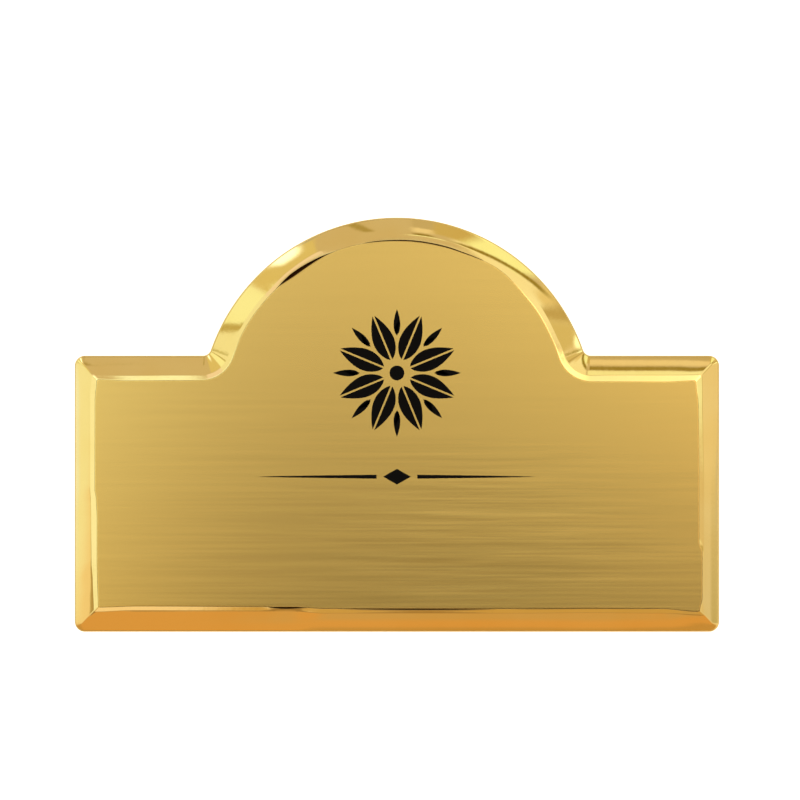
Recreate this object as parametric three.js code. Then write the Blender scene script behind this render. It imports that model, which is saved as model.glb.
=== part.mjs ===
// A domed name badge. A polished, gold-plated frame with a bevelled border holds a brushed
// gold panel in a shallow recess, and a magnetic bar is fixed across the frame's flat back.
// Millimetres, +Z up: the badge lies on its back, with +Y towards the top of the dome.
// The origin is on the surface that it rests on, under the middle of the frame's outline.

import * as THREE from "three";

// Outline of the badge, seen from the front
const badgeWidth = 70;
const badgeHeight = 45;
const shoulderHeight = 30; // from the bottom edge up to the shoulders beside the dome
const domeRadius = 21.4;
const cornerRadius = 1.1; // the four outer corners
const junctionRadius = 0.9; // hollow fillet where the dome rises out of a shoulder

// Frame, from its back to the lip around the panel
const floorThickness = 0.85; // behind the panel
const backChamfer = 0.15;
const rimHeight = 0.7; // upright rim, from the back up to the bevel
const rimChamfer = 0.12; // where the rim turns into the bevel
const bevelWidth = 1.85; // seen from the front
const bevelSwell = 0.07; // how far the polished bevel stands above a straight slope
const lipWidth = 0.45; // narrow polished lip between the bevel and the panel
const lipRise = 0.1;
const lipSwell = 0.015;
const lipAbovePanel = 0.05;
const mitreRadius = 0.25; // the bevel, the lip and the panel keep this radius at a corner

// Brushed panel in the frame's recess
const panelThickness = 0.8;
const panelGap = 0.3; // narrow groove all round the panel

// Magnetic bar on the frame's back
const barLength = 45;
const barWidth = 13;
const barThickness = 4.5;
const barChamfer = 0.4;
const barFromBottom = 21; // from the frame's bottom edge up to the bar's middle line

const glueGap = 0.3; // behind the panel, and between the bar and the frame

// Facets
const cornerSteps = 6;
const junctionSteps = 9;
const domeSteps = 56;
const bevelSteps = 5;
const lipSteps = 3;
const barEndSteps = 20;

const frameThickness = floorThickness + glueGap + panelThickness + lipAbovePanel;
const recessInset = bevelWidth + lipWidth;
const panelInset = recessInset + panelGap;
const quarterTurn = Math.PI / 2;

function arc(x, y, radius, from, to, clockwise, steps) {
  const curve = new THREE.EllipseCurve(x, y, radius, radius, from, to, clockwise);
  return curve.getPoints(steps);
}

// The badge's outline moved inwards by inset, as points that run anticlockwise. Straight
// edges join the seven arcs. Every inset gives the same number of points.
function badgeOutline(inset) {
  const right = badgeWidth / 2;
  const bottom = -badgeHeight / 2;
  const shoulder = bottom + shoulderHeight;

  const round = Math.max(cornerRadius - inset, mitreRadius);
  const fromEdge = inset + round; // from the original edges in to a corner's centre
  const corner = (x, y, from) => arc(x, y, round, from, from + quarterTurn, false, cornerSteps);

  const domeY = badgeHeight / 2 - domeRadius;
  const junctionY = shoulder + junctionRadius;
  const junctionX = Math.sqrt((domeRadius + junctionRadius) ** 2 - (junctionY - domeY) ** 2);
  const domeStart = Math.atan2(junctionY - domeY, junctionX);
  const domeEnd = 2 * quarterTurn - domeStart;
  const hollow = junctionRadius + inset;

  return [
    ...corner(fromEdge - right, bottom + fromEdge, -2 * quarterTurn),
    ...corner(right - fromEdge, bottom + fromEdge, -quarterTurn),
    ...corner(right - fromEdge, shoulder - fromEdge, 0),
    ...arc(junctionX, junctionY, hollow, -quarterTurn, -domeEnd, true, junctionSteps),
    ...arc(0, domeY, domeRadius - inset, domeStart, domeEnd, false, domeSteps),
    ...arc(-junctionX, junctionY, hollow, -domeStart, -quarterTurn, true, junctionSteps),
    ...corner(fromEdge - right, shoulder - fromEdge, quarterTurn),
  ];
}

// Sections from one to another along a slope that stands proud by swell at its middle.
function slope(from, to, swell, steps) {
  const sections = [];
  for (let step = 0; step <= steps; step++) {
    const share = step / steps;
    const straight = THREE.MathUtils.lerp(from.height, to.height, share);
    sections.push({
      inset: THREE.MathUtils.lerp(from.inset, to.inset, share),
      height: straight + 4 * swell * share * (1 - share),
    });
  }
  return sections;
}

// The frame's sections run up the rim and the bevel, over the lip and down into the recess.
function frameSections() {
  const bevelFoot = { inset: rimChamfer, height: rimHeight };
  const bevelTop = { inset: bevelWidth, height: frameThickness - lipRise };
  const lipTop = { inset: recessInset, height: frameThickness };
  return [
    { inset: backChamfer, height: 0 },
    { inset: 0, height: backChamfer },
    { inset: 0, height: rimHeight - rimChamfer },
    ...slope(bevelFoot, bevelTop, bevelSwell, bevelSteps),
    ...slope(bevelTop, lipTop, lipSwell, lipSteps).slice(1),
    { inset: recessInset, height: floorThickness },
  ];
}

function panelSections() {
  return [
    { inset: panelInset, height: 0 },
    { inset: panelInset, height: panelThickness },
  ];
}

// A bar with half-round ends, moved inwards by inset, as points that run anticlockwise.
function barOutline(inset) {
  const radius = barWidth / 2 - inset;
  const endX = (barLength - barWidth) / 2;
  return [
    ...arc(endX, 0, radius, -quarterTurn, quarterTurn, false, barEndSteps),
    ...arc(-endX, 0, radius, quarterTurn, 3 * quarterTurn, false, barEndSteps),
  ];
}

function barSections() {
  return [
    { inset: barChamfer, height: 0 },
    { inset: 0, height: barChamfer },
    { inset: 0, height: barThickness },
  ];
}

// A closed solid through one outline for each section, with a flat cap at each end.
function loft(outline, sections) {
  const rings = sections.map((section) => outline(section.inset));
  const count = rings[0].length;
  const positions = rings.flatMap((ring, level) =>
    ring.flatMap((point) => [point.x, point.y, sections[level].height]),
  );
  const triangles = [];
  for (let level = 0; level + 1 < rings.length; level++) {
    for (let place = 0; place < count; place++) {
      const next = (place + 1) % count;
      const lower = level * count;
      const upper = lower + count;
      triangles.push(lower + place, lower + next, upper + next);
      triangles.push(lower + place, upper + next, upper + place);
    }
  }
  const last = (rings.length - 1) * count;
  for (const [a, b, c] of THREE.ShapeUtils.triangulateShape(rings[0], [])) {
    triangles.push(c, b, a);
  }
  for (const [a, b, c] of THREE.ShapeUtils.triangulateShape(rings.at(-1), [])) {
    triangles.push(last + a, last + b, last + c);
  }
  const geometry = new THREE.BufferGeometry();
  geometry.setAttribute("position", new THREE.Float32BufferAttribute(positions, 3));
  geometry.setIndex(triangles);
  const faceted = geometry.toNonIndexed();
  faceted.computeVertexNormals();
  return faceted;
}

const polishedGold = new THREE.MeshStandardMaterial({
  name: "polished_gold",
  color: 0xe0b860,
  roughness: 0.12,
  metalness: 1,
});
const brushedGold = new THREE.MeshStandardMaterial({
  name: "brushed_gold",
  color: 0xc9a257,
  roughness: 0.38,
  metalness: 1,
});
const blackPlastic = new THREE.MeshStandardMaterial({
  name: "black_plastic",
  color: 0x1c1c1e,
  roughness: 0.5,
  metalness: 0,
});

const frame = new THREE.Mesh(loft(badgeOutline, frameSections()), polishedGold);
frame.name = "badge_frame";
frame.position.z = barThickness + glueGap;

const panel = new THREE.Mesh(loft(badgeOutline, panelSections()), brushedGold);
panel.name = "face_panel";
panel.position.z = frame.position.z + floorThickness + glueGap;

const bar = new THREE.Mesh(loft(barOutline, barSections()), blackPlastic);
bar.name = "magnet_bar";
bar.position.y = barFromBottom - badgeHeight / 2;

const badge = new THREE.Group();
badge.add(frame, panel, bar);

export default badge;
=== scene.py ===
import math

import bpy
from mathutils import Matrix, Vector


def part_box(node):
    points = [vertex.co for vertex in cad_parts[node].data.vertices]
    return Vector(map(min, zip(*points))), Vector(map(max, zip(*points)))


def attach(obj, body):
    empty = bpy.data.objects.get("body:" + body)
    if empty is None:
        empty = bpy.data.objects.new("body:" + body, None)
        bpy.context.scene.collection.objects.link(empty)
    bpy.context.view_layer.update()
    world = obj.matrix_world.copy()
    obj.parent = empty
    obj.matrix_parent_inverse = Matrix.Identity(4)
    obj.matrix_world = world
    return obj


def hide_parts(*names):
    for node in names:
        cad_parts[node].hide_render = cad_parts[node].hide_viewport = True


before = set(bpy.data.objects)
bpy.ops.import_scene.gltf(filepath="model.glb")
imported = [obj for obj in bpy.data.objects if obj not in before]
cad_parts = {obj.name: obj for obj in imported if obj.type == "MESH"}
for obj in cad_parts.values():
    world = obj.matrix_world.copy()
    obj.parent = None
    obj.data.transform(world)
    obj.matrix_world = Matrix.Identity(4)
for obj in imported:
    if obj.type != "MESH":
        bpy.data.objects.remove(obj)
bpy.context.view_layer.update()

mm = 0.001
print("frame loaded with", ", ".join(sorted(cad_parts)))


# Every tree below is built with this: it adds a node, sets it and links or fills its inputs.
def nodeAdder(tree):
    def add(kind, inputs=None, **settings):
        node = tree.nodes.new(kind)
        for name, value in settings.items():
            setattr(node, name, value)
        for key, value in (inputs or {}).items():
            if isinstance(value, bpy.types.NodeSocket):
                tree.links.new(value, node.inputs[key])
            else:
                node.inputs[key].default_value = value
        return node

    return add


def newTree(name, inputs):
    tree = bpy.data.node_groups.new(name, "GeometryNodeTree")
    sockets = tree.interface
    sockets.new_socket("Geometry", in_out="INPUT", socket_type="NodeSocketGeometry")
    for label, kind in inputs.items():
        sockets.new_socket(label, in_out="INPUT", socket_type="NodeSocket" + kind)
    sockets.new_socket("Geometry", in_out="OUTPUT", socket_type="NodeSocketGeometry")
    return tree


def newMaterial(name, **shaderValues):
    material = bpy.data.materials.new(name)
    material.use_nodes = True
    tree = material.node_tree
    shader = tree.nodes["Principled BSDF"]
    for key, value in shaderValues.items():
        shader.inputs[key].default_value = value
    return material, tree, shader


# Adds one sum to a tree and gives its result.
def mathAdder(add):
    def number(operation, *values):
        return add("ShaderNodeMath", dict(enumerate(values)), operation=operation).outputs[0]

    return number


def stretchedNoise(add, stretch, scale, detail, offset=(0, 0, 0)):
    place = add("ShaderNodeTexCoord").outputs["Object"]
    mapped = add(
        "ShaderNodeMapping", {"Vector": place, "Scale": stretch, "Location": offset}
    )
    noise = add(
        "ShaderNodeTexNoise",
        {"Vector": mapped.outputs[0], "Scale": scale, "Detail": detail},
    )
    return noise.outputs[0]


def spread(add, value, low, high, newLow, newHigh):
    ranged = add(
        "ShaderNodeMapRange",
        {0: value, 1: low, 2: high, 3: newLow, 4: newHigh},
        interpolation_type="SMOOTHSTEP",
    )
    return ranged.outputs[0]


def blendColours(add, share, first, second):
    mixed = add("ShaderNodeMix", {0: share, 6: first, 7: second}, data_type="RGBA")
    return mixed.outputs[2]


def bumped(add, height, strength, depth, normal=None):
    inputs = {"Height": height, "Strength": strength, "Distance": depth * mm}
    if normal is not None:
        inputs["Normal"] = normal
    return add("ShaderNodeBump", inputs).outputs[0]


polish = {
    "colour": (0.95, 0.735, 0.26, 1),
    "deeperColour": (0.93, 0.69, 0.215, 1),
    "cloudScale": 90,
    "cloudDetail": 4,
    "cloudRange": (0.4, 0.75),
    "scuffStretch": (1, 1, 0.4),
    "scuffScale": 2600,
    "scuffDetail": 5,
    "scuffRange": (0.35, 0.7),
    "roughness": (0.05, 0.085),
    "backRoughness": 0.34,
    "backHeight": (4.84, 4.92),
    "haze": 0.035,
    "hazeDepth": 0.05,
}
# The colour and roughness of the painted shade in and beside the panel's seam and on the frame's
# outer edge.
seam = {"colour": (0.14, 0.05, 0.01, 1), "roughness": 0.7}


# Paints shade into the surface where the mesh's "seam" attribute is 1, deep in the panel's seam, and
# less where it is lower: on the lip and the panel's edge beside an open seam, and on the frame's
# outer edge.
def paintSeamAndEdgeShade(add, tree, shader, colour, roughness):
    share = add("ShaderNodeAttribute", attribute_name="seam").outputs["Fac"]
    darkened = blendColours(add, share, colour, seam["colour"])
    tree.links.new(darkened, shader.inputs["Base Color"])
    rougher = add("ShaderNodeMix", {0: share, 2: roughness, 3: seam["roughness"]})
    tree.links.new(rougher.outputs[0], shader.inputs["Roughness"])


def makePolishedGold():
    material, tree, shader = newMaterial("polishedGold", Metallic=1.0)
    add = nodeAdder(tree)
    clouds = stretchedNoise(add, (1, 1, 1), polish["cloudScale"], polish["cloudDetail"])
    stretch, scale = polish["scuffStretch"], polish["scuffScale"]
    scuffs = stretchedNoise(add, stretch, scale, polish["scuffDetail"])
    deeper = spread(add, clouds, *polish["cloudRange"], 0, 1)
    colour = blendColours(add, deeper, polish["colour"], polish["deeperColour"])
    front = spread(add, scuffs, *polish["scuffRange"], *polish["roughness"])
    position = add("ShaderNodeTexCoord").outputs["Object"]
    height = add("ShaderNodeSeparateXYZ", {0: position}).outputs["Z"]
    backLow, backHigh = polish["backHeight"]
    isFront = spread(add, height, backLow * mm, backHigh * mm, 0, 1)
    roughness = add("ShaderNodeMix", {0: isFront, 2: polish["backRoughness"], 3: front})
    paintSeamAndEdgeShade(add, tree, shader, colour, roughness.outputs[0])
    haze = bumped(add, scuffs, polish["haze"], polish["hazeDepth"])
    tree.links.new(haze, shader.inputs["Normal"])
    return material


brushing = {
    "darkColour": (0.77, 0.525, 0.137, 1),
    "lightColour": (0.99, 0.70, 0.195, 1),
    "roughness": (0.215, 0.24),
    "anisotropic": 0.75,
    "depth": 0.03,
    "fineStretch": (50, 3400, 60),
    "fineDetail": 1,
    "fineRange": (0.3, 0.7),
    "fineContrast": 0.2,
    "fineBump": 0.004,
    "strokeStretch": (65, 2500, 60),
    "strokeDetail": 2,
    "strokeOffset": (3.1, 1.7, 0),
    "strokeContrast": 2.3,
    "faintContrast": 0.2,
    "faintRange": (0.3, 1.05),
    "strokeBump": 0.04,
    "strokeMiddle": (10, -12.5),
    "strokeReach": (21.5, 12.5),
}


def makeBrushedGold():
    material, tree, shader = newMaterial(
        "brushedGold", Metallic=1.0, Anisotropic=brushing["anisotropic"]
    )
    add = nodeAdder(tree)
    number = mathAdder(add)
    fine = stretchedNoise(add, brushing["fineStretch"], 1, brushing["fineDetail"])

    # longer strokes, most of them below the middle of the panel
    detail, offset = brushing["strokeDetail"], brushing["strokeOffset"]
    strokes = stretchedNoise(add, brushing["strokeStretch"], 1, detail, offset)
    middleX, middleY = brushing["strokeMiddle"]
    reachX, reachY = brushing["strokeReach"]
    place = add("ShaderNodeTexCoord").outputs["Object"]
    centred = add(
        "ShaderNodeMapping",
        {
            "Vector": place,
            "Location": (-middleX / reachX, -middleY / reachY, 0),
            "Scale": (1 / (reachX * mm), 1 / (reachY * mm), 0),
        },
    ).outputs[0]
    reach = add("ShaderNodeVectorMath", {0: centred}, operation="LENGTH").outputs["Value"]
    contrasts = (brushing["strokeContrast"], brushing["faintContrast"])
    strength = spread(add, reach, *brushing["faintRange"], *contrasts)
    stroke = number("MULTIPLY", number("SUBTRACT", strokes, 0.5), strength)
    hair = number("MULTIPLY", number("SUBTRACT", fine, 0.5), brushing["fineContrast"])
    share = number("ADD", number("ADD", stroke, hair), 0.5)
    colour = blendColours(add, share, brushing["darkColour"], brushing["lightColour"])
    roughness = spread(add, fine, *brushing["fineRange"], *brushing["roughness"])
    paintSeamAndEdgeShade(add, tree, shader, colour, roughness)
    scratched = bumped(add, fine, brushing["fineBump"], brushing["depth"])
    sunk = bumped(add, stroke, brushing["strokeBump"], brushing["depth"], scratched)
    tree.links.new(sunk, shader.inputs["Normal"])
    across = add("ShaderNodeTangent", direction_type="UV_MAP", uv_map="acrossBrushing")
    tree.links.new(across.outputs[0], shader.inputs["Tangent"])
    return material


# A dull surface whose colour varies in patches and whose grain varies its roughness.
def makeGrained(name, look):
    material, tree, shader = newMaterial(name, **{"Specular IOR Level": look["specular"]})
    add = nodeAdder(tree)
    grain = stretchedNoise(add, (1, 1, 1), look["grainScale"], look["grainDetail"])
    patches = stretchedNoise(add, (1, 1, 1), look["patchScale"], look["patchDetail"])
    share = spread(add, patches, *look["patchRange"], 0, look["patchShare"])
    colour = blendColours(add, share, look["colour"], look["patchColour"])
    tree.links.new(colour, shader.inputs["Base Color"])
    roughness = spread(add, grain, *look["grainRange"], *look["roughness"])
    tree.links.new(roughness, shader.inputs["Roughness"])
    rough = bumped(add, grain, look["bump"], look["depth"])
    tree.links.new(rough, shader.inputs["Normal"])
    return material


plastic = {
    "colour": (0.022, 0.022, 0.025, 1),
    "patchColour": (0.05, 0.05, 0.054, 1),
    "patchScale": 160,
    "patchDetail": 4,
    "patchRange": (0.45, 0.8),
    "patchShare": 0.6,
    "grainScale": 5200,
    "grainDetail": 3,
    "grainRange": (0.3, 0.7),
    "roughness": (0.38, 0.52),
    "specular": 0.45,
    "bump": 0.25,
    "depth": 0.03,
}
ink = {
    "colour": (0.002, 0.0018, 0.0016, 1),
    "patchColour": (0.005, 0.0042, 0.003, 1),
    "patchScale": 9000,
    "patchDetail": 2,
    "patchRange": (0.45, 0.75),
    "patchShare": 1,
    "grainScale": 9000,
    "grainDetail": 2,
    "grainRange": (0.3, 0.7),
    "roughness": (0.5, 0.62),
    "specular": 0.06,
    "bump": 0.1,
    "depth": 0.01,
}

polishedGold = makePolishedGold()
brushedGold = makeBrushedGold()
blackPlastic = makeGrained("blackPlastic", plastic)
printedInk = makeGrained("printedInk", ink)
print("materials made")

mergeDistance = 0.0005
creaseAngle = math.radians(38)


# The object's own mesh is the outline, a loop of points. Each point knows which way is
# outwards, and which way a corner gathers once the inset is past the corner's slack.
# The section's points hold an inset, a height and a share of the waviness, and "follow",
# which is how far they move with the panel's edge, how much painted shade they get (in and
# beside the seam and on the outer edge) and how far they move with the crease between the
# bevel and the lip. A painted shade below 0 is one that they only have where the seam is open.
def makeSweepTree():
    tree = newTree(
        "sectionRoundOutline",
        {
            "Section": "Object",
            "Corner slack": "Float",
            "Wave height": "Float",
            "Wave length": "Float",
            "Seed": "Float",
            "Crease angle": "Float",
            "Surface": "Material",
        },
    )
    add = nodeAdder(tree)
    number = mathAdder(add)
    given = add("NodeGroupInput").outputs
    outline = given["Geometry"]
    section = add("GeometryNodeObjectInfo", {"Object": given["Section"]}).outputs["Geometry"]

    def countOf(geometry):
        return add("GeometryNodeAttributeDomainSize", {0: geometry}).outputs["Point Count"]

    def whole(operation, first, second):
        return add("FunctionNodeIntegerMath", {0: first, 1: second}, operation=operation).outputs[0]

    def vector(operation, first, second):
        return add("ShaderNodeVectorMath", {0: first, 1: second}, operation=operation).outputs[0]

    def scaled(first, factor):
        inputs = {0: first, "Scale": factor}
        return add("ShaderNodeVectorMath", inputs, operation="SCALE").outputs[0]

    def stored(geometry, name, value, kind="INT"):
        return add(
            "GeometryNodeStoreNamedAttribute",
            {"Geometry": geometry, "Name": name, "Value": value},
            data_type=kind,
            domain="POINT",
        ).outputs[0]

    def recalled(name, kind):
        return add("GeometryNodeInputNamedAttribute", {"Name": name}, data_type=kind).outputs[0]

    def sampled(geometry, value, index):
        return add(
            "GeometryNodeSampleIndex",
            {"Geometry": geometry, "Value": value, "Index": index},
            data_type="FLOAT_VECTOR",
            domain="POINT",
        ).outputs[0]

    around = countOf(outline)
    levels = countOf(section)
    index = add("GeometryNodeInputIndex").outputs[0]

    # a wall with one column for each outline point and one row for each section point
    columns = whole("ADD", around, 1)
    wall = add("GeometryNodeMeshGrid", {"Vertices X": columns, "Vertices Y": levels}).outputs[0]
    place = whole("MODULO", whole("DIVIDE_FLOOR", index, levels), around)
    wall = stored(wall, "place", place)
    wall = stored(wall, "level", whole("MODULO", index, levels))
    wall = add("GeometryNodeSetShadeSmooth", {0: wall, "Shade Smooth": True}).outputs[0]

    def cap(level, turned):
        disc = add("GeometryNodeMeshCircle", {"Vertices": around}, fill_type="NGON").outputs[0]
        disc = stored(disc, "place", index)
        disc = stored(disc, "level", level)
        disc = add("GeometryNodeSetShadeSmooth", {0: disc, "Shade Smooth": False}).outputs[0]
        if turned:
            disc = add("GeometryNodeFlipFaces", {0: disc}).outputs[0]
        return disc

    joined = add("GeometryNodeJoinGeometry")
    for geometry in (cap(whole("SUBTRACT", levels, 1), False), cap(0, True), wall):
        tree.links.new(geometry, joined.inputs[0])

    position = add("GeometryNodeInputPosition").outputs[0]
    placeOf = recalled("place", "INT")
    levelOf = recalled("level", "INT")
    base = sampled(outline, position, placeOf)
    outward = sampled(outline, recalled("outward", "FLOAT_VECTOR"), placeOf)
    gather = sampled(outline, recalled("gather", "FLOAT_VECTOR"), placeOf)
    profile = add("ShaderNodeSeparateXYZ", {0: sampled(section, position, levelOf)}).outputs
    follow = sampled(section, recalled("follow", "FLOAT_VECTOR"), levelOf)
    edgeShare, dark, creaseShare = add("ShaderNodeSeparateXYZ", {0: follow}).outputs
    shift = sampled(outline, recalled("shift", "FLOAT_VECTOR"), placeOf)
    edgeMove, creaseMove, isOpen = add("ShaderNodeSeparateXYZ", {0: shift}).outputs
    inset = number("ADD", profile["X"], number("MULTIPLY", edgeMove, edgeShare))
    inset = number("ADD", inset, number("MULTIPLY", creaseMove, creaseShare))

    past = number("MAXIMUM", number("SUBTRACT", inset, given["Corner slack"]), 0.0)
    flat = vector("SUBTRACT", base, scaled(outward, inset))
    flat = vector("ADD", flat, scaled(gather, past))

    waves = add(
        "ShaderNodeTexNoise",
        {
            "Vector": flat,
            "W": given["Seed"],
            "Scale": number("DIVIDE", 1.0, given["Wave length"]),
            "Detail": 1.0,
        },
        noise_dimensions="4D",
    ).outputs[0]
    share = number("MULTIPLY", profile["Z"], given["Wave height"])
    lift = number("MULTIPLY", number("SUBTRACT", waves, 0.5), share)
    rise = add("ShaderNodeCombineXYZ", {"Z": number("ADD", profile["Y"], lift)}).outputs[0]
    shaped = add(
        "GeometryNodeSetPosition",
        {"Geometry": joined.outputs[0], "Position": vector("ADD", flat, rise)},
    ).outputs[0]
    # The painted shade goes into the "seam" attribute: the full amount, or, for a shade below 0, its
    # size only where the seam is open.
    darkWhereOpen = number("MULTIPLY", number("MULTIPLY", dark, -1.0), isOpen)
    shaped = stored(shaped, "seam", number("MAXIMUM", dark, darkWhereOpen), "FLOAT")

    merged = {0: shaped, "Distance": mergeDistance * mm}
    closed = add("GeometryNodeMergeByDistance", merged).outputs[0]
    bend = add("GeometryNodeInputMeshEdgeAngle").outputs["Unsigned Angle"]
    sharp = add(
        "FunctionNodeCompare", {0: bend, 1: given["Crease angle"]}, operation="GREATER_THAN"
    ).outputs[0]
    creased = add(
        "GeometryNodeSetShadeSmooth",
        {0: closed, "Selection": sharp, "Shade Smooth": False},
        domain="EDGE",
    ).outputs[0]
    single = add("GeometryNodeRealizeInstances", {0: creased}).outputs[0]
    finished = add(
        "GeometryNodeSetMaterial", {"Geometry": single, "Material": given["Surface"]}
    ).outputs[0]
    add("NodeGroupOutput", {0: finished})
    return tree


sweepTree = makeSweepTree()


def pointsObject(name, points, attributes):
    mesh = bpy.data.meshes.new(name)
    mesh.from_pydata(points, [], [])
    for key, values in attributes.items():
        layer = mesh.attributes.new(key, "FLOAT_VECTOR", "POINT")
        layer.data.foreach_set("vector", [part for value in values for part in value])
    holder = bpy.data.objects.new(name, mesh)
    bpy.context.collection.objects.link(holder)
    return holder


# Runs a tree on an object and keeps the result as a plain mesh with no modifier.
def grown(source, name, tree, values):
    modifier = source.modifiers.new(tree.name, "NODES")
    modifier.node_group = tree
    for item in tree.interface.items_tree:
        if item.in_out == "INPUT" and item.name in values:
            modifier[item.identifier] = values[item.name]
    bpy.context.view_layer.update()
    result = source.evaluated_get(bpy.context.evaluated_depsgraph_get())
    mesh = bpy.data.meshes.new_from_object(result)
    mesh.name = name
    source.modifiers.remove(modifier)
    bpy.data.objects.remove(source)
    piece = bpy.data.objects.new(name, mesh)
    bpy.context.collection.objects.link(piece)
    return piece


noWaves = {"height": 0.0, "length": 5.0, "seed": 0.0}


def swept(name, outline, section, surface, shifts=None, slack=0.0, waves=noWaves):
    points, outwards, gathers = outline
    shifts = shifts or [(0, 0, 0)] * len(points)
    moves = [(edge * mm, crease * mm, isOpen) for edge, crease, isOpen in shifts]
    attributes = {"outward": outwards, "gather": gathers, "shift": moves}
    source = pointsObject(name + "Outline", points, attributes)
    sectionPlaces, follow = section
    profile = pointsObject(name + "Section", sectionPlaces, {"follow": follow})
    piece = grown(
        source,
        name,
        sweepTree,
        {
            "Section": profile,
            "Corner slack": slack * mm,
            "Wave height": waves["height"] * mm,
            "Wave length": waves["length"] * mm,
            "Seed": waves["seed"],
            "Crease angle": creaseAngle,
            "Surface": surface,
        },
    )
    bpy.data.objects.remove(profile)
    for leftOver in ("place", "level"):
        piece.data.attributes.remove(piece.data.attributes[leftOver])
    return piece


# Points on a curve from first to last that a control point pulls on.
def bow(first, control, last, steps):
    points = []
    for step in range(steps + 1):
        t = step / steps
        points.append(
            tuple(
                (1 - t) ** 2 * a + 2 * t * (1 - t) * b + t * t * c
                for a, b, c in zip(first, control, last)
            )
        )
    return points


shortestStep = 1e-7


# Each step of a path is an inset and a height in millimetres and, where they aren't 0, a
# share of the waviness, of the edge's shift, of the painted shade and of the crease's shift.
def sectionPoints(path, baseHeight):
    points, follow = [], []
    for inset, height, *shares in path:
        wave, edge, dark, crease = (*shares, 0.0, 0.0, 0.0, 0.0)[:4]
        point = (inset * mm, height * mm + baseHeight, wave)
        if not points or (Vector(point) - Vector(points[-1])).length > shortestStep:
            points.append(point)
            follow.append((edge, dark, crease))
    return points, follow


badge = {
    "width": 70,
    "height": 45,
    "shoulder": 30,
    "domeRadius": 21.4,
    "cornerRadius": 1.1,
    "junctionRadius": 0.9,
    "mitreRadius": 0.25,
    "cornerSteps": 20,
    "junctionSteps": 36,
    "domeSteps": 380,
    "straightStep": 0.8,
}


def badgeOutline():
    right = badge["width"] / 2
    bottom = -badge["height"] / 2
    shoulder = bottom + badge["shoulder"]
    corner = badge["cornerRadius"]
    junction = badge["junctionRadius"]
    dome = badge["domeRadius"]
    domeY = badge["height"] / 2 - dome
    junctionY = shoulder + junction
    junctionX = math.sqrt((dome + junction) ** 2 - (junctionY - domeY) ** 2)
    domeStart = math.atan2(junctionY - domeY, junctionX)
    quarter = math.pi / 2

    # centre, radius, first and last angle, steps, side (-1 where hollow), corner signs
    arcs = [
        ((corner - right, bottom + corner), corner, -2 * quarter, -quarter, "corner", 1, (-1, -1)),
        ((right - corner, bottom + corner), corner, -quarter, 0, "corner", 1, (1, -1)),
        ((right - corner, shoulder - corner), corner, 0, quarter, "corner", 1, (1, 1)),
        ((junctionX, junctionY), junction, -quarter, domeStart - 2 * quarter, "junction", -1, None),
        ((0, domeY), dome, domeStart, 2 * quarter - domeStart, "dome", 1, None),
        ((-junctionX, junctionY), junction, -domeStart, -quarter, "junction", -1, None),
        ((corner - right, shoulder - corner), corner, quarter, 2 * quarter, "corner", 1, (-1, 1)),
    ]
    turns = []
    for (x, y), radius, first, last, kind, side, signs in arcs:
        steps = badge[kind + "Steps"]
        for step in range(steps + 1):
            angle = first + (last - first) * step / steps
            direction = Vector((math.cos(angle), math.sin(angle), 0))
            point = Vector((x, y, 0)) + radius * direction
            outward = side * direction
            gather = outward - Vector((*signs, 0)) if signs else Vector((0, 0, 0))
            turns.append((point, outward, gather))

    points, outwards, gathers = [], [], []
    for first, last in zip(turns, turns[1:] + turns[:1]):
        gap = (last[0] - first[0]).length
        steps = max(1, round(gap / badge["straightStep"]))
        for step in range(steps):
            t = step / steps
            point, outward, gather = (a.lerp(b, t) for a, b in zip(first, last))
            points.append(point * mm)
            outwards.append(outward.normalized())
            gathers.append(gather)
    return points, outwards, gathers


outline = badgeOutline()
cornerSlack = badge["cornerRadius"] - badge["mitreRadius"]

# The crease between the bevel and the lip, and the panel's edge, wander round the badge. Each
# row is a place on the badge's outline and how far the crease and the edge lie further in.
borderShifts = [
    (-33.9, -22.5, 0.45, 0.36),
    (-30, -22.5, 0.6, 0.47),
    (-11.2, -22.5, 0.52, 0.38),
    (-8.2, -22.5, 0.3, 0.22),
    (14, -22.5, 0.3, 0.2),
    (22, -22.5, 0.35, 0.27),
    (30, -22.5, 0.3, 0.22),
    (33.9, -22.5, 0.05, -0.12),
    (35, -21.4, 0.0, -0.15),
    (35, -19.5, 0.0, -0.42),
    (35, -14.2, 0.0, -0.42),
    (35, -13.2, 0.0, -0.08),
    (35, -6, 0.0, -0.06),
    (35, -1, 0.1, -0.03),
    (35, 3, 0.15, 0.0),
    (35, 6.4, 0.2, 0.25),
    (33.9, 7.5, 0.2, 0.28),
    (31, 7.5, 0.25, 0.42),
    (23.5, 7.5, 0.25, 0.4),
    (20.1, 8.4, 0.3, 0.38),
    (19.4, 10.1, 0.35, 0.33),
    (16.4, 14.9, 0.1, 0.14),
    (12.3, 18.6, 0.0, -0.2),
    (7.3, 21.2, 0.05, 0.12),
    (3.7, 22.2, 0.08, 0.17),
    (0, 22.5, 0.12, 0.19),
    (-6.3, 21.6, 0.25, 0.1),
    (-9.7, 20.2, 0.0, 0.06),
    (-12.9, 18.2, 0.1, 0.05),
    (-15.4, 16.0, 0.27, 0.13),
    (-18.9, 11.1, 0.27, 0.1),
    (-20.1, 8.4, 0.25, 0.19),
    (-23.5, 7.5, 0.25, 0.27),
    (-31, 7.5, 0.28, 0.29),
    (-33.9, 7.5, 0.2, 0.15),
    (-35, 6.4, 0.15, 0.12),
    (-35, 4, 0.0, -0.05),
    (-35, -7.1, 0.0, -0.06),
    (-35, -7.8, 0.06, 0.08),
    (-35, -10, 0.1, 0.18),
    (-35, -15.5, 0.15, 0.18),
    (-35, -17.5, 0.28, 0.2),
    (-35, -21.4, 0.4, 0.3),
]

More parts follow.
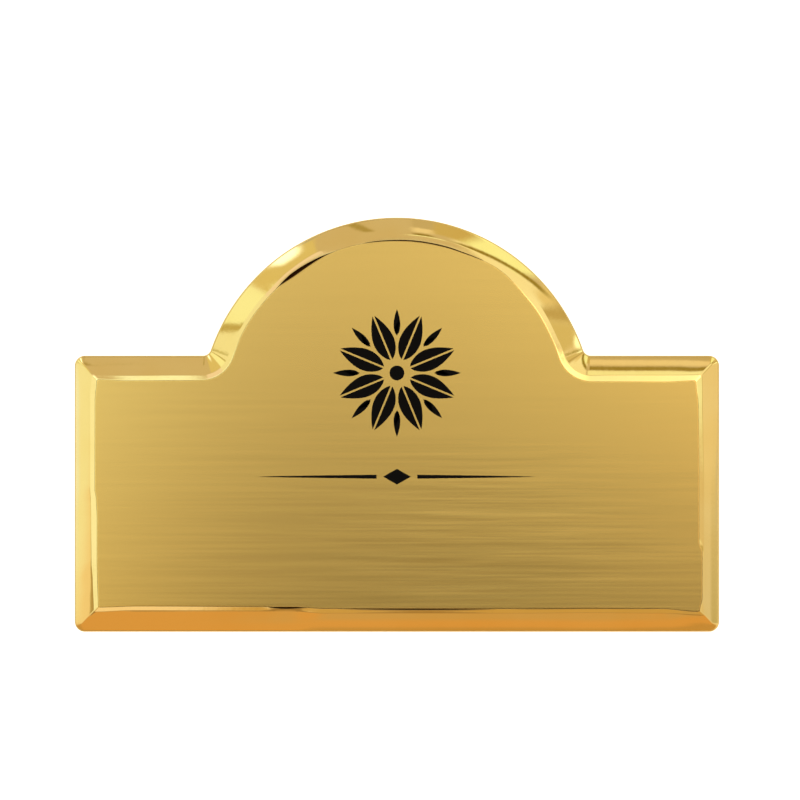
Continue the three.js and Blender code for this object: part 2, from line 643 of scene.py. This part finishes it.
# In places the seam between the lip and the panel opens. Each opening is a place, how far it
# reaches before and after it, how wide it is and how far it tapers, with places in degrees
# round the dome or in millimetres along the bottom edge.
seating = {
    "edge": 2.44,
    "gap": 0.01,
    "tolerance": 0.01,
    "aboveShoulder": 0.6,
    "openingSharpness": 8,
    "onDome": [(81, 20.5, 20, 0.1, 0.5), (126, 18, 9, 0.1, 3)],
    "atBottom": [(-12.6, 2.2, 2.2, 0.18, 1), (2.4, 9, 9, 0.12, 0.7), (19, 6, 12, 0.04, 0.7)],
    "cutOnDome": (126, 18, 9, 0.28, 3),
}


def smooth(value, low, high):
    t = min(1.0, max(0.0, (value - low) / (high - low)))
    return t * t * (3 - 2 * t)


def bulge(value, middle, before, after, height, taper):
    away = (middle - value) / before if value < middle else (value - middle) / after
    return height * max(0.0, 1 - away**2) ** taper


# The shifts of the crease and of the panel's edge at every point of the outline.
def blendedShifts(points):
    stations = [0.0]
    for first, last in zip(points, points[1:]):
        stations.append(stations[-1] + (last - first).length)
    lap = stations[-1] + (points[0] - points[-1]).length
    known = []
    for x, y, crease, edge in borderShifts:
        spot = Vector((x, y, 0)) * mm
        nearest = min(range(len(points)), key=lambda place: (points[place] - spot).length)
        known.append((stations[nearest], crease, edge))
    known.sort()
    known.insert(0, (known[-1][0] - lap, *known[-1][1:]))
    known.append((known[1][0] + lap, *known[1][1:]))
    blended = []
    for station in stations:
        for low, high in zip(known, known[1:]):
            if low[0] <= station < high[0]:
                t = smooth(station, low[0], high[0])
                blended.append([a + t * (b - a) for a, b in zip(low[1:], high[1:])])
                break
    return blended


# How far the panel's edge, and the end of the lip with the crease, lie from their usual inset.
def seatingShifts(points):
    domeY = badge["height"] / 2 - badge["domeRadius"]
    panelShifts, lipShifts = [], []
    for point, (crease, edge) in zip(points, blendedShifts(points)):
        x, y = point.x / mm, point.y / mm
        opening = cut = 0.0
        if y > badge["shoulder"] - badge["height"] / 2 + seating["aboveShoulder"]:
            turn = math.degrees(math.atan2(y - domeY, x))
            opening = sum(bulge(turn, *place) for place in seating["onDome"])
            cut = bulge(turn, *seating["cutOnDome"])
        elif y < -badge["height"] / 2 + seating["tolerance"]:
            opening = sum(bulge(x, *place) for place in seating["atBottom"])
        isOpen = min(1.0, seating["openingSharpness"] * (opening + cut))
        panelShifts.append((edge + cut, 0.0, isOpen))
        lipShifts.append((edge - opening, crease, isOpen))
    return panelShifts, lipShifts


panelShifts, lipShifts = seatingShifts(outline[0])


rim = {
    "backSteps": (0.6, 0.2),
    "backRounding": 0.15,
    "backArcSteps": 6,
    "rimTop": 0.7,
    "rimRounding": 0.12,
    "edgeRounding": 0.1,
    "edgeArcSteps": 6,
    "edgeSupport": 0.12,
    "bevelWidth": 1.85,
    "bevelTop": 1.9,
    "bevelSwell": 0.07,
    "bevelSteps": 22,
    "lipTop": 2.0,
    "crease": 0.03,
    "creaseArcSteps": 2,
    "crestRounding": 0.015,
    "crestArcSteps": 4,
    "crestSupport": 0.004,
    "lipSteps": 8,
    "edgeShade": 0.45,
    "lipShade": 0.6,
    "seamDepth": 0.3,
    "floorHeight": 0.85,
    "floorReach": 0.9,
}
waves = {"height": 0.012, "length": 6.5, "seed": 4.0}


def framePath():
    back = rim["backRounding"]
    farStep, nearStep = rim["backSteps"]
    foot = (rim["rimRounding"], rim["rimTop"], 0)
    width, top, swell = rim["bevelWidth"], rim["bevelTop"], rim["bevelSwell"]
    middle = ((foot[0] + width) / 2, (foot[1] + top) / 2 + 2 * swell, 0)
    footSlope = (middle[1] - foot[1]) / (middle[0] - foot[0])
    rimTurn = (0, foot[1] - foot[0] * footSlope, 0)
    bevel = bow(foot, middle, (width, top, 0), rim["bevelSteps"])
    for step, (inset, height, _) in enumerate(bevel):
        t = step / rim["bevelSteps"]
        bevel[step] = (inset, height, 4 * t * (1 - t), 0, 0, t)

    lipEnd, lipTop, crest = seating["edge"] - seating["gap"] / 2, rim["lipTop"], rim["crestRounding"]
    slope = (lipTop - top) / (lipEnd - width)
    crease = rim["crease"]
    beforeCrease = (width - crease, top - crease * (top - middle[1]) / (width - middle[0]))
    afterCrease = (width + crease, top + crease * slope)
    creaseTurn = bow(beforeCrease, (width, top), afterCrease, rim["creaseArcSteps"])
    lip = []
    for step in range(rim["lipSteps"] + 1):
        t = step / rim["lipSteps"]
        inset = afterCrease[0] + t * (lipEnd - crest - afterCrease[0])
        share = (inset - width) / (lipEnd - width)
        shadow = -rim["lipShade"] * share**4
        lip.append((inset, top + (inset - width) * slope, 0, share, shadow, 1 - share))
    crestEnd = (lipEnd, lipTop - crest)
    crestTurn = bow(lip[-1][:2], (lipEnd, lipTop), crestEnd, rim["crestArcSteps"])
    edgeStart = (0, rimTurn[1] - rim["edgeRounding"])
    edgeTurn = bow(edgeStart, rimTurn[:2], foot[:2], rim["edgeArcSteps"])
    return [
        (back + farStep, 0),
        (back + nearStep, 0),
        *bow((back, 0, 0), (0, 0, 0), (0, back, 0), rim["backArcSteps"]),
        (0, rimTurn[1] - rim["edgeSupport"]),
        # The frame's outer edge, with painted shade.
        *[(*point, 0, 0, rim["edgeShade"]) for point in edgeTurn],
        *bevel[1:-1],
        *[(*point, 0, 0, 0, 1) for point in creaseTurn],
        *lip[1:],
        *[(*point, 0, 1, -rim["lipShade"], 0) for point in crestTurn[1:]],
        # Down the seam's wall and along its floor, with the full painted shade.
        (lipEnd, lipTop - crest - rim["crestSupport"], 0, 1, 1),
        (lipEnd, lipTop - rim["seamDepth"], 0, 1, 1),
        (lipEnd, rim["floorHeight"], 0, 1, 1),
        (lipEnd + rim["floorReach"], rim["floorHeight"], 0, 1, 1),
    ]


frameLow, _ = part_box("badge_frame")
polishedFrame = swept(
    "polished_frame",
    outline,
    sectionPoints(framePath(), frameLow.z),
    polishedGold,
    lipShifts,
    cornerSlack,
    waves,
)
print("polished frame:", len(polishedFrame.data.polygons), "faces")


plate = {
    "edge": seating["edge"] + seating["gap"] / 2,
    "edgeRounding": 0.012,
    "edgeArcSteps": 4,
    "edgeSupport": 0.006,
    "edgeShade": 0.6,
    "backRounding": 0.08,
    "backArcSteps": 3,
    "backSteps": (0.5, 0.05),
    "frontSteps": (0.1, 0.8),
}


def panelPath(thickness):
    edge, turn, back = plate["edge"], plate["edgeRounding"], plate["backRounding"]
    farBack, nearBack = plate["backSteps"]
    nearFront, farFront = plate["frontSteps"]
    lower = bow((edge + back, 0), (edge, 0), (edge, back), plate["backArcSteps"])
    upperStart, upperEnd = (edge, thickness - turn), (edge + turn, thickness)
    upper = bow(upperStart, (edge, thickness), upperEnd, plate["edgeArcSteps"])
    return [
        # The panel's back near its edge and its side, down in the seam, with the full painted shade;
        # its top edge with painted shade where the seam is open.
        (edge + farBack, 0, 0, 1, 1),
        (edge + back + nearBack, 0, 0, 1, 1),
        *[(*point, 0, 1, 1) for point in lower],
        (edge, thickness - turn - plate["edgeSupport"], 0, 1, 1),
        *[(*point, 0, 1, -plate["edgeShade"]) for point in upper],
        (edge + turn + nearFront, thickness, 0, 1, 0),
        (edge + farFront, thickness, 0, 1, 0),
    ]


panelLow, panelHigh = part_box("face_panel")
brushedPanel = swept(
    "brushed_panel",
    outline,
    sectionPoints(panelPath((panelHigh.z - panelLow.z) / mm), panelLow.z),
    brushedGold,
    panelShifts,
    cornerSlack,
)
brushDirection = brushedPanel.data.uv_layers.new(name="acrossBrushing")
for loop in brushedPanel.data.loops:
    spot = brushedPanel.data.vertices[loop.vertex_index].co / (badge["width"] * mm)
    brushDirection.data[loop.index].uv = (spot.y + 0.5, 0.5 - spot.x)
print("brushed panel:", len(brushedPanel.data.polygons), "faces")


barShape = {
    "length": 45,
    "width": 13,
    "endSteps": 64,
    "bottomSteps": (0.8, 0.1),
    "lowerRounding": 0.4,
    "lowerArcSteps": 7,
    "upperRounding": 0.25,
    "upperArcSteps": 6,
    "topStep": 0.1,
    "seamHeight": 3.1,
    "seamDepth": 0.12,
    "seamSupport": 0.12,
    "seamEdge": 0.1,
    "seamTurn": 0.03,
    "seamHalf": 0.02,
    "seamArcSteps": 4,
    "padInset": 0.9,
    "padSupport": 0.05,
    "padFoot": 0.01,
    "padRounding": 0.03,
    "padStep": 0.6,
    "padGap": 0.02,
}


def barOutline(middleY):
    radius = barShape["width"] / 2
    endX = (barShape["length"] - barShape["width"]) / 2
    points, outwards = [], []
    for centreX, first in ((endX, -math.pi / 2), (-endX, math.pi / 2)):
        for step in range(barShape["endSteps"] + 1):
            angle = first + math.pi * step / barShape["endSteps"]
            outward = Vector((math.cos(angle), math.sin(angle), 0))
            fromMiddle = (Vector((centreX, 0, 0)) + radius * outward) * mm
            points.append(fromMiddle + Vector((0, middleY, 0)))
            outwards.append(outward)
    return points, outwards, [Vector((0, 0, 0))] * len(points)


def barPath(thickness, padTop):
    lower, upper = barShape["lowerRounding"], barShape["upperRounding"]
    farStep, nearStep = barShape["bottomSteps"]
    seam, depth = barShape["seamHeight"], barShape["seamDepth"]
    support, edge = barShape["seamSupport"], barShape["seamEdge"]
    turn, half = barShape["seamTurn"], barShape["seamHalf"]
    pad, foot = barShape["padInset"], barShape["padFoot"]
    seamArc = barShape["seamArcSteps"]
    upperStart, upperEnd = (0, thickness - upper), (upper, thickness)
    return [
        (lower + farStep, 0),
        (lower + nearStep, 0),
        *bow((lower, 0), (0, 0), (0, lower), barShape["lowerArcSteps"]),
        (0, seam - support),
        *bow((0, seam - edge), (0, seam - turn), (depth, seam - half), seamArc),
        *bow((depth, seam + half), (0, seam + turn), (0, seam + edge), seamArc),
        (0, seam + support),
        *bow(upperStart, (0, thickness), upperEnd, barShape["upperArcSteps"]),
        (upper + barShape["topStep"], thickness),
        (pad - barShape["padSupport"], thickness),
        (pad, thickness + foot),
        (pad, padTop - foot),
        (pad + barShape["padRounding"], padTop),
        (pad + barShape["padStep"], padTop),
    ]


barLow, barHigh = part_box("magnet_bar")
padTop = frameLow.z / mm - barShape["padGap"]
magnetBar = swept(
    "magnetic_bar",
    barOutline((barLow.y + barHigh.y) / 2),
    sectionPoints(barPath(barHigh.z / mm, padTop), barLow.z),
    blackPlastic,
)
print("magnetic bar:", len(magnetBar.data.polygons), "faces")


ornament = {
    "middle": (0.0, 5.6),
    "petals": 8,
    "petalStart": 1.55,
    "petalLength": 5.1,
    "petalWidth": 2.3,
    "petalTurn": 0.5,
    "vein": 0.2,
    "leafStart": 4.0,
    "leafLength": 2.9,
    "leafWidth": 0.72,
    "leafTurn": 0.0,
    "dotRadius": 0.8,
    "ruleY": -5.6,
    "ruleEnd": 15.0,
    "ruleStart": 2.2,
    "ruleThickness": 0.42,
    "lozenge": (1.5, 0.85),
    "leafBulge": (0.8, 0.9),
    "ruleTaper": 0.7,
    "filmGap": 0.002,
    "filmThickness": 0.02,
    "curveSteps": 20,
}
filmLow = panelHigh.z + ornament["filmGap"] * mm
filmHigh = filmLow + ornament["filmThickness"] * mm


# A flat film with a closed edge for each loop of points, given in millimetres.
def filmMesh(name, loops, low, high):
    vertices, faces = [], []
    for loop in loops:
        first, count = len(vertices), len(loop)
        vertices += [(x * mm, y * mm, low) for x, y in loop]
        vertices += [(x * mm, y * mm, high) for x, y in loop]
        faces.append([first + place for place in reversed(range(count))])
        faces.append([first + count + place for place in range(count)])
        for place in range(count):
            following = (place + 1) % count
            faces.append(
                [first + place, first + following, first + count + following, first + count + place]
            )
    mesh = bpy.data.meshes.new(name)
    mesh.from_pydata(vertices, [], faces)
    film = bpy.data.objects.new(name, mesh)
    bpy.context.collection.objects.link(film)
    return film


# One half of a leaf that points along +X, on the left of its vein. The other half mirrors it.
def leafHalf(length, width, vein):
    steps = ornament["curveSteps"]
    lean, fullness = ornament["leafBulge"]
    edge = []
    for step in range(1, steps):
        t = step / steps
        swell = math.sin(math.pi * t**lean) ** fullness
        edge.append((length * t, vein / 2 + (width - vein) / 2 * swell))
    return [(0, vein / 2), (length, vein / 2), *reversed(edge)]


def mirrored(loop):
    return [(x, -y) for x, y in reversed(loop)]


def makePetalsTree():
    tree = newTree(
        "petalsRoundMiddle",
        {
            "Petal": "Object",
            "Count": "Int",
            "Middle": "Vector",
            "Start": "Float",
            "Turn": "Float",
            "Surface": "Material",
        },
    )
    add = nodeAdder(tree)
    given = add("NodeGroupInput").outputs
    petal = add("GeometryNodeObjectInfo", {"Object": given["Petal"]}).outputs["Geometry"]
    ring = add(
        "GeometryNodeMeshCircle", {"Vertices": given["Count"], "Radius": given["Start"]}
    ).outputs[0]
    position = add("GeometryNodeInputPosition").outputs[0]
    x, y, _ = add("ShaderNodeSeparateXYZ", {0: position}).outputs
    facing = add("ShaderNodeMath", {0: y, 1: x}, operation="ARCTAN2").outputs[0]
    facing = add("ShaderNodeCombineXYZ", {"Z": facing}).outputs[0]
    petals = add(
        "GeometryNodeInstanceOnPoints", {"Points": ring, "Instance": petal, "Rotation": facing}
    ).outputs[0]
    turn = add("ShaderNodeCombineXYZ", {"Z": given["Turn"]}).outputs[0]
    placed = add(
        "GeometryNodeTransform",
        {"Geometry": petals, "Rotation": turn, "Translation": given["Middle"]},
    ).outputs[0]
    joined = add("GeometryNodeJoinGeometry")
    for geometry in (placed, given["Geometry"]):
        tree.links.new(geometry, joined.inputs[0])
    single = add("GeometryNodeRealizeInstances", {0: joined.outputs[0]}).outputs[0]
    finished = add(
        "GeometryNodeSetMaterial", {"Geometry": single, "Material": given["Surface"]}
    ).outputs[0]
    add("NodeGroupOutput", {0: finished})
    return tree


def makeOrnament():
    middleX, middleY = ornament["middle"]
    steps = ornament["curveSteps"]
    radius = ornament["dotRadius"]
    dot = []
    for step in range(2 * steps):
        angle = math.pi * step / steps
        dot.append((middleX + radius * math.cos(angle), middleY + radius * math.sin(angle)))
    start, end = ornament["ruleStart"], ornament["ruleEnd"]
    half = ornament["ruleThickness"] / 2
    upper = []
    for step in range(1, steps):
        t = step / steps
        upper.append((start + (end - start) * t, half * (1 - t) ** ornament["ruleTaper"]))
    rule = [(start, -half)]
    rule += [(x, -y) for x, y in upper] + [(end, 0)] + upper[::-1]
    rule.append((start, half))
    across, tall = ornament["lozenge"]
    lozenge = [(across, 0), (0, tall), (-across, 0), (0, -tall)]
    otherRule = [(-x, y) for x, y in reversed(rule)]
    level = [
        [(middleX + x, ornament["ruleY"] + y) for x, y in loop]
        for loop in (rule, otherRule, lozenge)
    ]

    side = leafHalf(ornament["petalLength"], ornament["petalWidth"], ornament["vein"])
    petal = filmMesh("petal", [side, mirrored(side)], filmLow, filmHigh)
    thin = leafHalf(ornament["leafLength"], ornament["leafWidth"], 0.0)
    thin = thin + mirrored(thin)[1:-1]
    leaf = filmMesh("thinLeaf", [thin], filmLow, filmHigh)

    tree = makePetalsTree()
    printed = filmMesh("print", [dot, *level], filmLow, filmHigh)
    for shape, start, turn in (
        (petal, ornament["petalStart"], ornament["petalTurn"]),
        (leaf, ornament["leafStart"], ornament["leafTurn"]),
    ):
        printed = grown(
            printed,
            "printed_ornament",
            tree,
            {
                "Petal": shape,
                "Count": ornament["petals"],
                "Middle": (middleX * mm, middleY * mm, 0.0),
                "Start": start * mm,
                "Turn": turn * 2 * math.pi / ornament["petals"],
                "Surface": printedInk,
            },
        )
        bpy.data.objects.remove(shape)
    return printed


printedOrnament = makeOrnament()
print("printed ornament:", len(printedOrnament.data.polygons), "faces")


floorLook = {
    "Base Color": (0.86, 0.86, 0.86, 1),
    "Roughness": 0.9,
    "Specular IOR Level": 0.1,
    "Emission Color": (1, 1, 1, 1),
    "Emission Strength": 0.8,
}
floorShape = {"reach": 3.0, "drop": 0.02}


def makeFloor():
    reach, drop = floorShape["reach"], floorShape["drop"] * mm
    corners = [(x * reach, y * reach, -drop) for x, y in ((-1, -1), (1, -1), (1, 1), (-1, 1))]
    mesh = bpy.data.meshes.new("studioFloor")
    mesh.from_pydata(corners, [], [(0, 1, 2, 3)])
    floor = bpy.data.objects.new("studio_floor", mesh)
    bpy.context.collection.objects.link(floor)
    material, _, _ = newMaterial("paleFloor", **floorLook)
    mesh.materials.append(material)


makeFloor()

tan = (0.68, 0.578, 0.50)
white = (0.98, 1.01, 0.97)

# Panels hang overhead. Each has its middle and half its size in degrees from the zenith
# towards +X and +Y, how soft its edges are, and its colour.
overhead = (1.03, 0.60, 0.01)
overheadPanels = [
    ("upper diffuser", 0, 15, 70, 16, 8, 2, (1.04, 1.11, 1.21)),
    ("high light", 0, 6.5, 30, 7.5, 8, 1.5, (1.01, 0.94, 0.86)),
    ("warm light", 9, 6.5, 8, 7.5, 4, 1.5, (1.29, 1.25, 1.14)),
    ("left light", -36, 12, 26, 18, 9, 8, (1.44, 1.90, 2.43)),
    ("lower left light", -36, -30, 27, 24, 9, 8, (0.68, 0.51, 0.03)),
    ("right light", 38, 30, 26, 30, 10, 3, (2.90, 2.45, 2.16)),
    ("lower right light", 38, -30, 26, 30, 10, 3, (0.68, 0.46, 0.39)),
    ("camera", 3.6, -11.2, 11.5, 10.9, 6, 1.5, (0.02, 0.02, 0.015)),
]

# Cards stand round the badge. Each has an azimuth in degrees from +X towards +Y, half of
# its width, how far below the zenith it starts and ends, how soft its sides and its other
# edges are, how far it leans (azimuth for each degree down) and its colour.
wallCards = [
    ("low wall", 0, 180, 21.5, 100, 1, 1.5, 0, tan),
    ("gold wall", 127, 12, 48, 100, 1.5, 2, 0, (0.78, 0.68, 0.44)),
    ("left softbox", 182.5, 44, 21.5, 100, 1.2, 1.5, 0.05, white),
    ("left dome light", 146, 7.3, 48, 100, 1.2, 1.5, 0.05, (1.04, 1.13, 1.03)),
    ("left outer light", 183, 10, 84, 100, 3, 4, 0, (0.97, 1.08, 1.4)),
    ("left lip light", 183, 8, 22, 38, 2, 1.5, 0, (1.06, 1.12, 1.2)),
    ("left warm side", 193, 8, 50, 100, 3.5, 3, 0.2, (0.95, 0.79, 0.62)),
    ("right softbox", 0, 30, 21.5, 100, 8, 1.5, 0, (0.89, 0.79, 0.72)),
    ("right outer edge", 0, 13, 85, 100, 3, 2.5, 0, (0.70, 0.67, 0.75)),
    ("right lip light", 6, 8, 22, 36, 1.5, 1.5, 0, (1.0, 1.07, 1.02)),
    ("right lower lip", 351.5, 7, 22, 50, 3, 1.5, 0, (0.78, 0.66, 0.56)),
    ("right crease", 1, 4, 40, 55, 2, 1.5, 0, (0.6, 0.5, 0.3)),
    ("right tan side", 351.5, 5.5, 50, 100, 3, 3, 0, (0.765, 0.69, 0.68)),
    ("right low edge", 351.5, 5, 77, 100, 3, 3, 0, (0.60, 0.53, 0.40)),
    ("left crease", 188, 3.5, 40, 59, 1.5, 1.5, 0, (0.50, 0.38, 0.2)),
    ("lower gap", 270, 50, 34, 48, 6, 1.5, 0, (0.42, 0.26, 0.12)),
    ("lower lip wall", 271, 48, 21.5, 34, 6, 1.5, 0, (0.64, 0.42, 0.19)),
    ("lower lip end", 247, 13.5, 22, 36, 1.5, 1.5, 0, (1.0, 0.82, 0.75)),
    ("lower card", 268, 62, 48, 100, 12, 1.5, 0, (0.745, 0.408, 0.165)),
    ("lower card edge", 268, 62, 74, 100, 12, 2.5, 0, (0.60, 0.355, 0.15)),
    ("lower tan strip", 272, 6, 48, 64, 3, 4, 0, (0.65, 0.42, 0.22)),
    ("top outer edge", 97, 26, 83.5, 100, 3, 2, 0, (0.49, 0.48, 0.56)),
    ("peach lip light", 125, 13, 21.5, 36, 1, 1.5, 0, (0.97, 0.86, 1.02)),
    ("bright band", 48, 24, 21.5, 74, 3, 1.5, 0, (1.03, 1.0, 0.97)),
    ("upper lip tan", 75, 8, 21.5, 34, 3, 1.5, 0, (0.70, 0.59, 0.50)),
    ("ochre wall", 73, 7, 66, 100, 2, 2, 0, (0.66, 0.53, 0.30)),
    ("shoulder wall", 82.5, 3.4, 64, 71, 1.2, 1.5, 0, (0.92, 0.80, 0.72)),
    ("shoulder edge", 82.5, 3.4, 71, 100, 1.2, 1.5, 0, (0.61, 0.51, 0.41)),
    ("shoulder band", 81, 6.3, 31, 56.5, 1.2, 1, 0, (1.02, 1.07, 1.0)),
    ("shoulder line", 82.3, 3.4, 57.3, 62.2, 1.2, 1.2, 0, (0.36, 0.28, 0.09)),
    ("yellow wall", 56, 10, 66, 100, 3, 2, -0.25, (1.06, 1.17, 0.98)),
    ("peach wall", 37, 4, 62, 100, 2.5, 6, 0, (0.87, 0.74, 0.54)),
    ("upright", 30.3, 3.2, 46, 100, 2.6, 4, 0, (0.58, 0.46, 0.27)),
    ("right tan wall", 24.6, 3.0, 44, 100, 1.6, 2, 0, (0.73, 0.62, 0.41)),
    ("right end", 18.6, 0.9, 50, 100, 0.6, 2, 0, (0.42, 0.36, 0.12)),
    ("bar", 103.3, 1.6, 64.5, 100, 0.8, 1.5, 0.28, (0.46, 0.37, 0.18)),
    ("left bar", 153.4, 1.3, 46, 100, 0.7, 2, 0.12, (0.58, 0.49, 0.24)),
    ("left end", 161.2, 0.45, 50, 100, 0.3, 2, 0, (0.5, 0.45, 0.2)),
]

# The dark edge of a panel runs slanting down across the bright band and the yellow wall.
darkEdge = {
    "azimuth": 55,
    "height": 68,
    "slope": -0.52,
    "half": 17,
    "width": 2.6,
    "soft": 1.7,
    "endSoft": 5,
    "colour": (0.34, 0.26, 0.05),
}

# Lamps are round: an azimuth and half a width, a distance below the zenith and half a
# height, how soft the edge is, and a colour.
lamps = [
    ("right lamp", 21.6, 2.4, 80, 9.5, 0.4, (1.5, 1.7, 1.9)),
    ("left lamp", 126, 5.0, 83, 12, 0.4, (1.6, 1.85, 2.6)),
    ("top lamp", 64, 5, 89, 5, 0.4, (1.6, 1.8, 1.6)),
]

# The part of a wall card, in degrees below the zenith, that a bevel reflects. A card that
# leans turns round the middle of it.
bevelSees = (56, 90)


def makeStudioLight():
    world = bpy.data.worlds.new("studioLight")
    world.use_nodes = True
    bpy.context.scene.world = world
    tree = world.node_tree
    add = nodeAdder(tree)
    number = mathAdder(add)

    def within(value, half, soft):
        return spread(add, number("ABSOLUTE", value), half - soft, half + soft, 1, 0)

    def turnFrom(middle, angle):
        return number("WRAP", number("SUBTRACT", angle, middle), 180.0, -180.0)

    def painted(colour, share, paint):
        return blendColours(add, share, colour, (*paint, 1))

    direction = add("ShaderNodeTexCoord").outputs["Generated"]
    x, y, z = add("ShaderNodeSeparateXYZ", {0: direction}).outputs
    azimuth = number("DEGREES", number("ARCTAN2", y, x))
    down = number("DEGREES", number("ARCCOSINE", z))
    towardsX = number("DEGREES", number("ARCTAN2", x, z))
    towardsY = number("DEGREES", number("ARCTAN2", y, z))

    colour = (*overhead, 1)
    for _, middleX, middleY, halfX, halfY, softX, softY, paint in overheadPanels:
        side = within(number("SUBTRACT", towardsX, middleX), halfX, softX)
        edge = within(number("SUBTRACT", towardsY, middleY), halfY, softY)
        colour = painted(colour, number("MULTIPLY", side, edge), paint)

    for _, middle, half, start, end, sideSoft, edgeSoft, lean, paint in wallCards:
        seenMiddle = (max(start, bevelSees[0]) + min(end, bevelSees[1])) / 2
        leaning = number("MULTIPLY", number("SUBTRACT", down, seenMiddle), lean)
        turn = turnFrom(leaning, turnFrom(middle, azimuth))
        side = within(turn, half, sideSoft)
        edge = within(number("SUBTRACT", down, (start + end) / 2), (end - start) / 2, edgeSoft)
        colour = painted(colour, number("MULTIPLY", side, edge), paint)

    along = number("SUBTRACT", azimuth, darkEdge["azimuth"])
    level = number("MULTIPLY_ADD", along, darkEdge["slope"], darkEdge["height"])
    across = within(number("SUBTRACT", down, level), darkEdge["width"], darkEdge["soft"])
    line = number("MULTIPLY", within(along, darkEdge["half"], darkEdge["endSoft"]), across)
    colour = painted(colour, line, darkEdge["colour"])

    for _, middle, half, height, halfHeight, soft, paint in lamps:
        u = number("DIVIDE", turnFrom(middle, azimuth), half)
        v = number("DIVIDE", number("SUBTRACT", down, height), halfHeight)
        reach = number("SQRT", number("MULTIPLY_ADD", u, u, number("MULTIPLY", v, v)))
        colour = painted(colour, within(reach, 1.0, soft), paint)
    tree.links.new(colour, tree.nodes["Background"].inputs["Color"])


makeStudioLight()

view = {"above": (0.33, 2.68), "height": 246.7, "lens": 100, "sensor": 36, "clip": (0.01, 20)}


def makeCamera():
    lens = bpy.data.cameras.new("photoCamera")
    lens.lens = view["lens"]
    lens.sensor_width = view["sensor"]
    lens.clip_start, lens.clip_end = view["clip"]
    camera = bpy.data.objects.new("photoCamera", lens)
    camera.location = Vector((*view["above"], view["height"])) * mm
    bpy.context.collection.objects.link(camera)
    bpy.context.scene.camera = camera
    bpy.context.scene.view_settings.view_transform = "Standard"


makeCamera()

for piece, slotName, node in (
    (polishedFrame, "polished_gold", "badge_frame"),
    (brushedPanel, "brushed_gold", "face_panel"),
    (magnetBar, "black_plastic", "magnet_bar"),
):
    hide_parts(node)
    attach(piece, "root")

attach(printedOrnament, "root")
